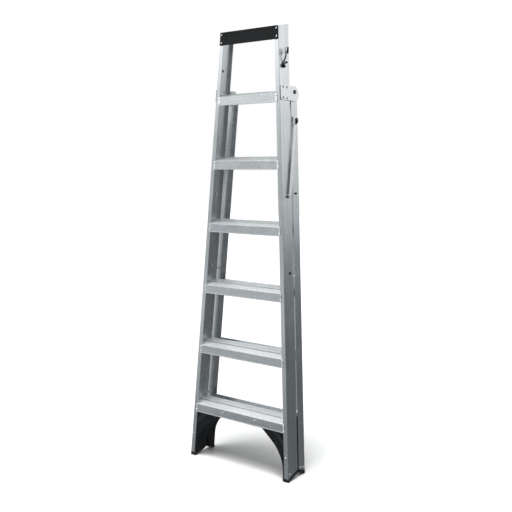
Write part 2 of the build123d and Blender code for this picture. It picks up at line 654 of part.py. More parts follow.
# black hub between the lever's eye and the pivot's head
latch_hub = turned([(4.1, LATCH_T + 0.3), (9.5, LATCH_T + 0.3), (9.5, LATCH_T + 6.6), (8.0, LATCH_T + 9.1), (4.1, LATCH_T + 9.1)])
with BuildPart() as latch_hubs:
    with Locations(sideways(EYE_X0, LATCH_D, LATCH_Z, 1), sideways(EYE_X0, LATCH_D, LATCH_Z, -1)):
        add(latch_hub)
latch_hubs.part.label = "latch_hubs"
export_step(latch_hubs.part, "parts/latch_hubs.step")

latch_stop = turned([(0, -RAIL_WEB - 2.4), (3.6, -RAIL_WEB - 0.6), (3.6, -RAIL_WEB - 0.05), (RIVET_R, -RAIL_WEB - 0.05),
                     (RIVET_R, 0), (5.0, 0), (5.0, 4.2), (4.2, 5.0), (0, 5.0)])
with BuildPart() as latch_stops:
    with Locations(on_web(STOP_D, along(STOP_Z), 0.02, 1), on_web(STOP_D, along(STOP_Z), 0.02, -1)):
        add(latch_stop)
latch_stops.part.label = "latch_stops"
export_step(latch_stops.part, "parts/latch_stops.step")

# ---------------------------------------------------------------- closing buttons between the sections
closing_button = turned([(0, -RAIL_FLANGE_T - 1.6), (RIVET_R - 0.6, -RAIL_FLANGE_T - 1.6), (RIVET_R, -RAIL_FLANGE_T),
                         (RIVET_R, 0.05), (5.0, 0.05), (5.0, R_D0 - RAIL_D - 1.4), (4.2, R_D0 - RAIL_D - 0.5),
                         (0, R_D0 - RAIL_D - 0.5)])
with BuildPart() as closing_buttons:
    with Locations(*[facing(side * (w(z) - 8.5), RAIL_D, z, 1) for z in BUTTON_Z for side in (1, -1)]):
        add(closing_button)
closing_buttons.part.label = "closing_buttons"
export_step(closing_buttons.part, "parts/closing_buttons.step")

# ---------------------------------------------------------------- rear section: rails
with BuildPart() as rear_rail_right:
    x0 = wr(-60)
    with BuildSketch(plan(-60)) as sk:
        with BuildLine():
            Polyline((x0, R_D0), (x0, R_D1), (x0 - REAR_FLANGE, R_D1), (x0 - REAR_FLANGE, R_D1 - R_FLANGE_T),
                     (x0 - R_WEB, R_D1 - R_FLANGE_T), (x0 - R_WEB, R_D0 + R_FLANGE_T),
                     (x0 - FRONT_FLANGE, R_D0 + R_FLANGE_T), (x0 - FRONT_FLANGE, R_D0), close=True)
        make_face()
        for corner, radius in [((x0, R_D0), 1.2), ((x0, R_D1), 2.6),
                               ((x0 - R_WEB, R_D1 - R_FLANGE_T), 0.8), ((x0 - R_WEB, R_D0 + R_FLANGE_T), 0.8),
                               ((x0 - FRONT_FLANGE, R_D0), 1.0), ((x0 - REAR_FLANGE, R_D1), 1.0)]:
            fillet(sk.vertices().sort_by_distance(corner)[0], radius)
    extrude(amount=1960 / CG, dir=UP)
    # slanted foot end, rounded top end
    with BuildSketch(cross(0)) as sk:
        with BuildLine():
            Polyline((R_D0 - 0.02, rear_sole_z(R_D0) + FOOT_T), (R_D1 + 0.02, rear_sole_z(R_D1) + FOOT_T),
                     (R_D1 + 0.02, R_TOP_Z), (R_D0 - 0.02, R_TOP_Z), close=True)
        make_face()
        fillet(sk.vertices().sort_by_distance((R_D0, R_TOP_Z))[0], 16)
        fillet(sk.vertices().sort_by_distance((R_D1, R_TOP_Z))[0], 20)
    extrude(amount=420, mode=Mode.INTERSECT)
    with BuildSketch(front(R_D1 + 5)):
        with Locations(*rear_tread_rear_rivets):
            Circle(HOLE_R)
    extrude(amount=10, mode=Mode.SUBTRACT)
    with BuildSketch(front(R_D0 + 5)):
        with Locations(*rear_tread_front_rivets, *REAR_GUSSET_RIVETS):
            Circle(HOLE_R)
    extrude(amount=10, mode=Mode.SUBTRACT)
    with BuildSketch(web(0)):
        with Locations(*[(d, along(z)) for d, z in REAR_FOOT_RIVETS]):
            Circle(HOLE_R)
        with Locations((STAY_STUD_D, along(STAY_STUD_Z))):
            Circle(4.1)
        with Locations((CATCH_D, along(CATCH_Z))):
            Circle(2.7)
    extrude(amount=-10, mode=Mode.SUBTRACT)
    with BuildSketch(cross(140)):
        with Locations((PIVOT_D, PIVOT_Z)):
            Circle(7.55)
    extrude(amount=60, mode=Mode.SUBTRACT)
rear_rail_right.part.label = "rear_rail_right"
export_step(rear_rail_right.part, "parts/rear_rail_right.step")

with BuildPart() as rear_rail_left:
    mirror(rear_rail_right.part, about=Plane.YZ)
rear_rail_left.part.label = "rear_rail_left"
export_step(rear_rail_left.part, "parts/rear_rail_left.step")


# ---------------------------------------------------------------- rear section: upside-down treads
def rear_tread_outline(z0):
    """Section of a rear tread: ribbed plate underneath, walls standing up from it."""
    d_front, d_rear = R_D0 + R_FLANGE_T + 0.2, R_D1 + TREAD_T

    def bottom(d, h=0.0):
        return (d, z0 - 14.0 + (d - d_rear) * TA - h / CA)

    pts = [(d_rear, z0 + 16.0), (R_D1, z0 + 16.0), bottom(R_D1, -2.4), bottom(d_front + TREAD_T, -2.4),
           (d_front + TREAD_T, bottom(d_front)[1] + REAR_WALL), (d_front, bottom(d_front)[1] + REAR_WALL),
           bottom(d_front)]
    for i in range(7):
        r = d_front + 4.0 + 6.6 * i
        pts += [bottom(r), bottom(r + 0.5, RIB_H), bottom(r + 2.4, RIB_H), bottom(r + 2.9)]
    pts += [bottom(d_rear)]
    return pts


for number, z0 in enumerate(reversed(REAR_TREAD_Z), start=1):
    base = z0 - 70
    with BuildPart() as rear_tread:
        with BuildSketch(cross(0)) as sk:
            with BuildLine():
                Polyline(*rear_tread_outline(z0), close=True)
            make_face()
            fillet(sk.vertices().sort_by_distance((R_D1 + TREAD_T, z0 - 14.0))[0], 2.2)
        extrude(amount=320)
        xb = wr(base)
        with BuildSketch(plan(base)):
            with BuildLine():
                Polyline((xb - R_WEB - 0.5, 80), (420, 80), (420, 170), (xb - R_WEB - 0.5, 170), close=True)
            make_face()
            with BuildLine():
                Polyline((xb - REAR_FLANGE - 0.5, R_D1 - R_FLANGE_T - 0.2), (420, R_D1 - R_FLANGE_T - 0.2),
                         (420, R_D1), (xb - REAR_FLANGE - 0.5, R_D1), close=True)
            make_face()
            with BuildLine():
                Polyline((xb - 4.5, R_D1 - 0.5), (420, R_D1 - 0.5), (420, 170), (xb - 4.5, 170), close=True)
            make_face()
        extrude(amount=160, dir=UP, mode=Mode.SUBTRACT)
        with BuildSketch(front(R_D1 + 5)):
            with Locations((wr(z0 + 8) - 9.5, z0 + 8), (wr(z0 - 5) - 9.5, z0 - 5)):
                Circle(HOLE_R)
        extrude(amount=7, mode=Mode.SUBTRACT)
        with BuildSketch(front(R_D0 + 8)):
            with Locations((wr(z0 - 13.3) - 12.0, z0 - 13.3), (wr(z0 - 22) - 12.0, z0 - 22)):
                Circle(HOLE_R)
        extrude(amount=8, mode=Mode.SUBTRACT)
        mirror(about=Plane.YZ)
    rear_tread.part.label = f"rear_tread_{number}"
    export_step(rear_tread.part, f"parts/rear_tread_{number}.step")

rear_tab_rivet = rivet(TREAD_T + R_FLANGE_T)
rear_wall_rivet = rivet(TREAD_T + R_FLANGE_T + 0.2, head_h=1.8)
with BuildPart() as rear_tread_rivets:
    with Locations(*[facing(x, R_D1 + TREAD_T, z, 1) for x, z in both_sides(rear_tread_rear_rivets)]):
        add(rear_tab_rivet)
    with Locations(*[facing(x, R_D0, z, -1) for x, z in both_sides(rear_tread_front_rivets)]):
        add(rear_wall_rivet)
rear_tread_rivets.part.label = "rear_tread_rivets"
export_step(rear_tread_rivets.part, "parts/rear_tread_rivets.step")

# ---------------------------------------------------------------- rear gussets
with BuildPart() as rear_gusset_hollow:
    a, b, m, c, e = gusset_edge(*R_ARC, 3.5, 20.0, 140.0)
    with BuildSketch(front(175)):
        with BuildLine():
            Line(a, b)
            ThreePointArc(b, m, c)
            Polyline(c, e, (wr(20) - R_WEB - 3.5, 20), (wr(320) - R_WEB - 3.5, 320), (a[0], 320), a)
        make_face()
    extrude(amount=175 - R_D0 - R_FLANGE_T - 3.4)
    with BuildSketch(cross(0)):
        with BuildLine():
            Polyline((90, rear_sole_z(90) + PLUG_H + 4), (180, rear_sole_z(180) + PLUG_H + 4),
                     (180, rear_gusset_top(180) - 3.5), (90, rear_gusset_top(90) - 3.5), close=True)
        make_face()
    extrude(amount=320, mode=Mode.INTERSECT)

# plate in front of the rail's front flange, joined to the gusset beside the flange's edge
SHIELD_D0, SHIELD_D1 = R_D0 - 2.6, R_D0 - 0.2
with BuildPart() as rear_gusset_shield:
    a, b, m, c, e = gusset_edge(*R_ARC, 0.0, 20.0, 140.0)
    with BuildSketch(front(SHIELD_D1)):
        with BuildLine():
            Line(a, b)
            ThreePointArc(b, m, c)
            Polyline(c, e, (wr(20) - 0.2, 20), (wr(320) - 0.2, 320), (a[0], 320), a)
        make_face()
    extrude(amount=SHIELD_D1 - SHIELD_D0)
    with BuildSketch(cross(0)):
        with BuildLine():
            Polyline((90, rear_sole_z(90) + FOOT_T + 0.6), (110, rear_sole_z(110) + FOOT_T + 0.6),
                     (110, rear_gusset_top(110)), (90, rear_gusset_top(90)), close=True)
        make_face()
    extrude(amount=320, mode=Mode.INTERSECT)
    with BuildSketch(front(SHIELD_D1)) as sk:
        with BuildLine():
            Polyline((wr(225) - 6.6, 225), (wr(225) - 0.2, 225), (wr(286) - 0.2, 286), (wr(286) - 6.6, 286), close=True)
        make_face()
        fillet(sk.vertices().sort_by_distance((wr(286) - 6.6, 286))[0], 4)
    extrude(amount=SHIELD_D1 - SHIELD_D0)

with BuildPart() as rear_gusset_bridge:
    a, b, m, c, e = gusset_edge(*R_ARC, 0.0, 20.0, 140.0)
    with BuildSketch(front(R_D0 + R_FLANGE_T + 2.0)):
        with BuildLine():
            Line(a, b)
            ThreePointArc(b, m, c)
            Polyline(c, e, (wr(20) - FRONT_FLANGE - 0.5, 20), (wr(320) - FRONT_FLANGE - 0.5, 320), (a[0], 320), a)
        make_face()
    extrude(amount=R_D0 + R_FLANGE_T + 2.0 - SHIELD_D0)
    with BuildSketch(cross(0)):
        with BuildLine():
            Polyline((90, rear_sole_z(90) + PLUG_H + 0.5), (110, rear_sole_z(110) + PLUG_H + 0.5),
                     (110, rear_gusset_top(110)), (90, rear_gusset_top(90)), close=True)
        make_face()
    extrude(amount=320, mode=Mode.INTERSECT)

with BuildPart() as rear_gusset_right:
    a, b, m, c, e = gusset_edge(*R_ARC, 0.0, 20.0, 140.0)
    d0, d1 = R_D0 + R_FLANGE_T + 0.4, R_D1 - R_FLANGE_T - 0.4
    with BuildSketch(front(d1)):
        with BuildLine():
            Line(a, b)
            ThreePointArc(b, m, c)
            Polyline(c, e, (wr(20) - R_WEB - 0.4, 20), (wr(320) - R_WEB - 0.4, 320), (a[0], 320), a)
        make_face()
    extrude(amount=d1 - d0)
    with BuildSketch(cross(0)):
        with BuildLine():
            Polyline((90, rear_sole_z(90) + PLUG_H + 0.5), (180, rear_sole_z(180) + PLUG_H + 0.5),
                     (180, rear_gusset_top(180)), (90, rear_gusset_top(90)), close=True)
        make_face()
    extrude(amount=320, mode=Mode.INTERSECT)
    add(rear_gusset_hollow.part, mode=Mode.SUBTRACT)
    add(rear_gusset_shield.part)
    add(rear_gusset_bridge.part)
    with BuildSketch(front(R_D0 + 10)):
        with Locations(*REAR_GUSSET_RIVETS):
            Circle(HOLE_R)
    extrude(amount=16, mode=Mode.SUBTRACT)
rear_gusset_right.part.label = "rear_gusset_right"
export_step(rear_gusset_right.part, "parts/rear_gusset_right.step")

with BuildPart() as rear_gusset_left:
    mirror(rear_gusset_right.part, about=Plane.YZ)
rear_gusset_left.part.label = "rear_gusset_left"
export_step(rear_gusset_left.part, "parts/rear_gusset_left.step")

rear_flange_rivet = rivet(R_D0 + R_FLANGE_T + 3.4 - SHIELD_D0)
with BuildPart() as rear_gusset_rivets:
    with Locations(*[facing(x, SHIELD_D0, z, -1) for x, z in both_sides(REAR_GUSSET_RIVETS)]):
        add(rear_flange_rivet)
rear_gusset_rivets.part.label = "rear_gusset_rivets"
export_step(rear_gusset_rivets.part, "parts/rear_gusset_rivets.step")

# ---------------------------------------------------------------- rear feet
with BuildPart() as rear_foot_plug:
    x0 = wr(-60)
    with BuildSketch(plan(-60)):
        with BuildLine():
            Polyline((x0 - 26.2, R_D0 + R_FLANGE_T + 0.4), (x0 - R_WEB - 0.4, R_D0 + R_FLANGE_T + 0.4),
                     (x0 - R_WEB - 0.4, R_D1 - R_FLANGE_T - 0.4), (x0 - 26.2, R_D1 - R_FLANGE_T - 0.4), close=True)
        make_face()
    extrude(amount=200, dir=UP)
    with BuildSketch(cross(0)):
        with BuildLine():
            Polyline((90, rear_sole_z(90) + 4), (160, rear_sole_z(160) + 4), (160, rear_sole_z(160) + PLUG_H),
                     (90, rear_sole_z(90) + PLUG_H), close=True)
        make_face()
    extrude(amount=420, mode=Mode.INTERSECT)

with BuildPart() as rear_foot_right:
    x0 = wr(-60)
    with BuildSketch(plan(-60)) as sk:
        with BuildLine():
            Polyline((x0 - 27.4, R_D0 - 0.5), (x0 + 0.7, R_D0 - 0.5), (x0 + 0.7, SOLE_D1),
                     (x0 - 27.4, SOLE_D1), close=True)
        make_face()
        fillet(sk.vertices(), 2.5)
    extrude(amount=160, dir=UP)
    with BuildSketch(cross(0)):
        with BuildLine():
            Polyline((90, rear_sole_z(90)), (160, rear_sole_z(160)), (160, rear_sole_z(160) + FOOT_T - 0.1),
                     (90, rear_sole_z(90) + FOOT_T - 0.1), close=True)
        make_face()
    extrude(amount=420, mode=Mode.INTERSECT)
    add(rear_foot_plug.part)
    with BuildSketch(web(0)):
        with Locations(*[(d, along(z)) for d, z in REAR_FOOT_RIVETS]):
            Circle(4.0)
    extrude(amount=-16, mode=Mode.SUBTRACT)
rear_foot_right.part.label = "rear_foot_right"
export_step(rear_foot_right.part, "parts/rear_foot_right.step")

with BuildPart() as rear_foot_left:
    mirror(rear_foot_right.part, about=Plane.YZ)
rear_foot_left.part.label = "rear_foot_left"
export_step(rear_foot_left.part, "parts/rear_foot_left.step")

rear_web_rivet = rivet(R_WEB + 0.5, tail_h=5.0)
with BuildPart() as rear_foot_rivets:
    with Locations(*[on_web(d, along(z), -R_INSET, side) for d, z in REAR_FOOT_RIVETS for side in (1, -1)]):
        add(rear_web_rivet)
rear_foot_rivets.part.label = "rear_foot_rivets"
export_step(rear_foot_rivets.part, "parts/rear_foot_rivets.step")

# ---------------------------------------------------------------- hinge bushes in the rear webs
BUSH_X = wr(PIVOT_Z) - R_WEB - 0.9
hinge_bush = turned([(5.08, 0), (7.5, 0), (7.5, 5.0), (5.08, 5.0)])
with BuildPart() as hinge_bushes:
    with Locations(sideways(BUSH_X, PIVOT_D, PIVOT_Z, 1), sideways(BUSH_X, PIVOT_D, PIVOT_Z, -1)):
        add(hinge_bush)
hinge_bushes.part.label = "hinge_bushes"
export_step(hinge_bushes.part, "parts/hinge_bushes.step")

# ---------------------------------------------------------------- catch rollers and stay studs on the rear webs
catch_roller = turned([(2.7, 0.05), (CATCH_R - 0.4, 0.05), (CATCH_R, 0.45), (CATCH_R, 4.6), (CATCH_R - 0.8, 5.4),
                       (4.3, 5.4), (4.3, 3.4), (2.7, 3.4)])
with BuildPart() as catch_rollers:
    with Locations(on_web(CATCH_D, along(CATCH_Z), -R_INSET, 1), on_web(CATCH_D, along(CATCH_Z), -R_INSET, -1)):
        add(catch_roller)
catch_rollers.part.label = "catch_rollers"
export_step(catch_rollers.part, "parts/catch_rollers.step")

catch_rivet = turned([(0, -R_WEB - 1.8), (5.0, -R_WEB - 1.8), (5.0, -R_WEB), (2.6, -R_WEB), (2.6, 3.45), (3.9, 3.45),
                      (3.9, 4.4), (2.9, 5.2), (0, 5.3)])
with BuildPart() as catch_rivets:
    with Locations(on_web(CATCH_D, along(CATCH_Z), -R_INSET, 1), on_web(CATCH_D, along(CATCH_Z), -R_INSET, -1)):
        add(catch_rivet)
catch_rivets.part.label = "catch_rivets"
export_step(catch_rivets.part, "parts/catch_rivets.step")

stay_stud = turned([(0, -R_WEB - 1.8), (6.5, -R_WEB - 1.8), (6.5, -R_WEB), (4.0, -R_WEB), (4.0, 0), (5.6, 0), (5.6, 1.2),
                    (STUD_R, 1.2), (STUD_R, 7.9), (STUD_R - 0.8, 8.6), (0, 8.6)])
with BuildPart() as stay_studs:
    with Locations(on_web(STAY_STUD_D, along(STAY_STUD_Z), -R_INSET, 1),
                   on_web(STAY_STUD_D, along(STAY_STUD_Z), -R_INSET, -1)):
        add(stay_stud)
stay_studs.part.label = "stay_studs"
export_step(stay_studs.part, "parts/stay_studs.step")

# ---------------------------------------------------------------- stays
tilt = radians(STAY_TILT)
pivot_on_web = web(0).from_local_coords((STAY_PIVOT_D, STAY_PIVOT_S, 0))
up_web = Vector(-SG, 0, CG)
back = Vector(0, 1, 0)
stay_across = back * cos(tilt) - up_web * sin(tilt)
stay_along = up_web * cos(tilt) + back * sin(tilt)
stay_plane = Plane(origin=pivot_on_web, x_dir=stay_across, z_dir=(CG, 0, SG))      # x across, y along the bar
stay_edge = Plane(origin=pivot_on_web, x_dir=stay_along, z_dir=stay_across)         # x along the bar, y out of the web
h = STAY_REAR
with BuildPart() as stay_right:
    with BuildSketch(stay_plane) as sk:
        with BuildLine():
            Line((h, 16), (h, NOTCH_R - NOTCH_W))
            Line((h, NOTCH_R - NOTCH_W), (NOTCH_T, NOTCH_R - NOTCH_W))
            ThreePointArc((NOTCH_T, NOTCH_R - NOTCH_W), (NOTCH_T - NOTCH_W, NOTCH_R), (NOTCH_T, NOTCH_R + NOTCH_W))
            Line((NOTCH_T, NOTCH_R + NOTCH_W), (h + 6, NOTCH_R + 3.4))
            Line((h + 6, NOTCH_R + 3.4), (h + 6, NOTCH_R + 13))
            ThreePointArc((h + 6, NOTCH_R + 13), (6, NOTCH_R + 21), (-STAY_FRONT, NOTCH_R + 12))
            eye_s = sqrt(STAY_EYE ** 2 - STAY_FRONT ** 2)
            Line((-STAY_FRONT, NOTCH_R + 12), (-STAY_FRONT, eye_s))
            ThreePointArc((-STAY_FRONT, eye_s), (0, -STAY_EYE), (STAY_EYE, 0))
            Line((STAY_EYE, 0), (h, 16))
        make_face()
        fillet(sk.vertices().sort_by_distance((h + 6, NOTCH_R + 13))[0], 4)
        fillet(sk.vertices().sort_by_distance((h, NOTCH_R - NOTCH_W))[0], 2.5)
    extrude(amount=20)
    with BuildSketch(stay_edge.offset(-60)):
        with BuildLine():
            crank = NOTCH_R - 26
            Polyline((-30, STAY_U), (crank, STAY_U), (crank + 5, HOOK_U), (NOTCH_R + 40, HOOK_U),
                     (NOTCH_R + 40, HOOK_U + STAY_T), (crank + 6.2, HOOK_U + STAY_T), (crank + 1.2, STAY_U + STAY_T),
                     (-30, STAY_U + STAY_T), close=True)
        make_face()
    extrude(amount=120, mode=Mode.INTERSECT)
    with BuildSketch(stay_plane):
        Circle(4.08)
        with Locations(GRIP_RIVET):
            Circle(HOLE_R)
    extrude(amount=20, mode=Mode.SUBTRACT)
stay_right.part.label = "stay_right"
export_step(stay_right.part, "parts/stay_right.step")

with BuildPart() as stay_left:
    mirror(stay_right.part, about=Plane.YZ)
stay_left.part.label = "stay_left"
export_step(stay_left.part, "parts/stay_left.step")

# moulded finger grip on the outer face of the hook, with a lip behind the bar's rear edge
GRIP_H = 5.4
hook_face = stay_plane.offset(HOOK_U + STAY_T)
with BuildPart() as stay_grip_right:
    with BuildSketch(hook_face) as sk:
        with BuildLine():
            Polyline((12.0, NOTCH_R - 14.5), (18.5, NOTCH_R - 14.5), (25.0, NOTCH_R - 7), (27.0, NOTCH_R + 3),
                     (25.5, NOTCH_R + 14.5), (12.0, NOTCH_R + 14.5), close=True)
        make_face()
        fillet(sk.vertices(), 2.4)
    extrude(amount=GRIP_H)
    fillet(stay_grip_right.faces().sort_by_distance(hook_face.from_local_coords((19, NOTCH_R, 3 * GRIP_H)))[0].edges(), 1.4)
    # finger grooves across the grip
    with BuildSketch(hook_face.offset(GRIP_H)):
        with Locations((18, NOTCH_R - 9.0), (18, NOTCH_R - 4.6), (18, NOTCH_R - 0.2)):
            SlotOverall(8, 2.0)
    extrude(amount=-1.1, mode=Mode.SUBTRACT)
    # lip behind the bar
    with BuildSketch(hook_face.offset(0.5)):
        with Locations((h + 1.2, NOTCH_R - 9.8)):
            Rectangle(1.8, 6.0)
    extrude(amount=-0.5 - STAY_T + 0.3)
    # seat and hole for the rivet
    with BuildSketch(hook_face.offset(GRIP_H)):
        with Locations(GRIP_RIVET):
            Circle(4.0)
    extrude(amount=-2.6, mode=Mode.SUBTRACT)
    with BuildSketch(hook_face):
        with Locations(GRIP_RIVET):
            Circle(HOLE_R)
    extrude(amount=GRIP_H, mode=Mode.SUBTRACT)
stay_grip_right.part.label = "stay_grip_right"
export_step(stay_grip_right.part, "parts/stay_grip_right.step")

with BuildPart() as stay_grip_left:
    mirror(stay_grip_right.part, about=Plane.YZ)
stay_grip_left.part.label = "stay_grip_left"
export_step(stay_grip_left.part, "parts/stay_grip_left.step")

grip_rivet = rivet(GRIP_H - 2.6 + STAY_T, head_r=3.6, head_h=1.8, tail_r=3.4, tail_h=1.2)
with BuildPart() as stay_grip_rivet_right:
    with Locations(Plane(origin=hook_face.from_local_coords((*GRIP_RIVET, GRIP_H - 2.6)), x_dir=stay_across,
                         z_dir=(CG, 0, SG)).location):
        add(grip_rivet)
stay_grip_rivet_right.part.label = "stay_grip_rivet_right"
export_step(stay_grip_rivet_right.part, "parts/stay_grip_rivet_right.step")

with BuildPart() as stay_grip_rivet_left:
    mirror(stay_grip_rivet_right.part, about=Plane.YZ)
stay_grip_rivet_left.part.label = "stay_grip_rivet_left"
export_step(stay_grip_rivet_left.part, "parts/stay_grip_rivet_left.step")

# ---------------------------------------------------------------- latch levers
rest = radians(LATCH_REST)
lever_plane = Plane(origin=(EYE_X0, LATCH_D - CENTRE_D, LATCH_Z), x_dir=(0, sin(rest), -cos(rest)), z_dir=(1, 0, 0))
fork_plane = Plane(origin=(LATCH_X0, LATCH_D - CENTRE_D, LATCH_Z), x_dir=(0, sin(rest), -cos(rest)), z_dir=(1, 0, 0))
lever_edge = Plane(origin=(EYE_X0, LATCH_D - CENTRE_D, LATCH_Z), x_dir=(0, cos(rest), sin(rest)), z_dir=(0, sin(rest), -cos(rest)))
CRANK = LATCH_X0 - EYE_X0
SLOT = CATCH_R + 0.6
TINE = 3.6
fork_w = SLOT + TINE
with BuildPart() as latch_lever_right:
    with BuildSketch(lever_plane) as sk:
        with BuildLine():
            Line((11, 0), (4.8, 22))
            Line((4.8, 22), (5.2, FORK_R - 27))
            Line((5.2, FORK_R - 27), (fork_w, FORK_R - 12))
            Line((fork_w, FORK_R - 12), (fork_w - 0.6, FORK_R + 10.5))
            Line((fork_w - 0.6, FORK_R + 10.5), (SLOT + 0.6, FORK_R + 10.5))
            Line((SLOT + 0.6, FORK_R + 10.5), (SLOT, FORK_R))
            ThreePointArc((SLOT, FORK_R), (0, FORK_R - SLOT), (-SLOT, FORK_R))
            Line((-SLOT, FORK_R), (-SLOT - 0.6, FORK_R + 10.5))
            Line((-SLOT - 0.6, FORK_R + 10.5), (-fork_w + 0.6, FORK_R + 10.5))
            Line((-fork_w + 0.6, FORK_R + 10.5), (-fork_w, FORK_R - 12))
            Line((-fork_w, FORK_R - 12), (-5.2, FORK_R - 27))
            Line((-5.2, FORK_R - 27), (-4.8, 22))
            Line((-4.8, 22), (-11, 0))
            ThreePointArc((-11, 0), (0, -11), (11, 0))
        make_face()
        for corner, radius in [((4.8, 22), 8), ((-4.8, 22), 8), ((5.2, FORK_R - 27), 6), ((-5.2, FORK_R - 27), 6),
                               ((fork_w, FORK_R - 12), 5), ((-fork_w, FORK_R - 12), 5),
                               ((fork_w - 0.6, FORK_R + 10.5), 1.0), ((-fork_w + 0.6, FORK_R + 10.5), 1.0),
                               ((SLOT + 0.6, FORK_R + 10.5), 1.0), ((-SLOT - 0.6, FORK_R + 10.5), 1.0)]:
            fillet(sk.vertices().sort_by_distance(corner)[0], radius)
        Circle(4.08, mode=Mode.SUBTRACT)
    extrude(amount=CRANK + LATCH_T)
    with BuildSketch(lever_edge.offset(-30)):
        with BuildLine():
            Polyline((-15, 0), (15.5, 0), (42.0, CRANK), (FORK_R + 20, CRANK), (FORK_R + 20, CRANK + LATCH_T),
                     (41.3, CRANK + LATCH_T), (14.8, LATCH_T), (-15, LATCH_T), close=True)
        make_face()
    extrude(amount=60, mode=Mode.INTERSECT)
latch_lever_right.part.label = "latch_lever_right"
export_step(latch_lever_right.part, "parts/latch_lever_right.step")

with BuildPart() as latch_lever_left:
    mirror(latch_lever_right.part, about=Plane.YZ)
latch_lever_left.part.label = "latch_lever_left"
export_step(latch_lever_left.part, "parts/latch_lever_left.step")

# black grip on the rear tine
with BuildPart() as latch_grip_right:
    with BuildSketch(fork_plane.offset(-1.0)) as sk:
        with BuildLine():
            Polyline((SLOT + 1.0, FORK_R - 12), (fork_w - 1.5, FORK_R - 17), (fork_w + 5.0, FORK_R - 13),
                     (fork_w + 5.0, FORK_R + 9), (fork_w + 2.0, FORK_R + 12.5), (SLOT + 1.4, FORK_R + 12.5), close=True)
        make_face()
        fillet(sk.vertices(), 1.5)
    extrude(amount=LATCH_T + 4.0)
    # pocket for the tine
    with BuildSketch(fork_plane.offset(-3.0)):
        with BuildLine():
            Polyline((SLOT - 4, FORK_R - 40), (fork_w + 0.15, FORK_R - 40), (fork_w + 0.15, FORK_R - 11.6),
                     (fork_w - 0.45, FORK_R + 10.65), (SLOT - 4, FORK_R + 10.65), close=True)
        make_face()
    extrude(amount=3.05 + LATCH_T, mode=Mode.SUBTRACT)
latch_grip_right.part.label = "latch_grip_right"
export_step(latch_grip_right.part, "parts/latch_grip_right.step")

with BuildPart() as latch_grip_left:
    mirror(latch_grip_right.part, about=Plane.YZ)
latch_grip_left.part.label = "latch_grip_left"
export_step(latch_grip_left.part, "parts/latch_grip_left.step")
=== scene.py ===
import math
import bpy
from mathutils import Matrix, Vector

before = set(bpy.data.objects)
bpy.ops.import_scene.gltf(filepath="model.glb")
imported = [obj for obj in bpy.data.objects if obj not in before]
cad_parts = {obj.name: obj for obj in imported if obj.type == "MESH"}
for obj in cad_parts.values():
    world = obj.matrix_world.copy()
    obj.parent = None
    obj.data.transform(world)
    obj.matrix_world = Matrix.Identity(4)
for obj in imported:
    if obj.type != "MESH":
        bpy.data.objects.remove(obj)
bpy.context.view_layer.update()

RAIL_LEAN = 0.0628          # how far a rail leans inwards for each unit of height


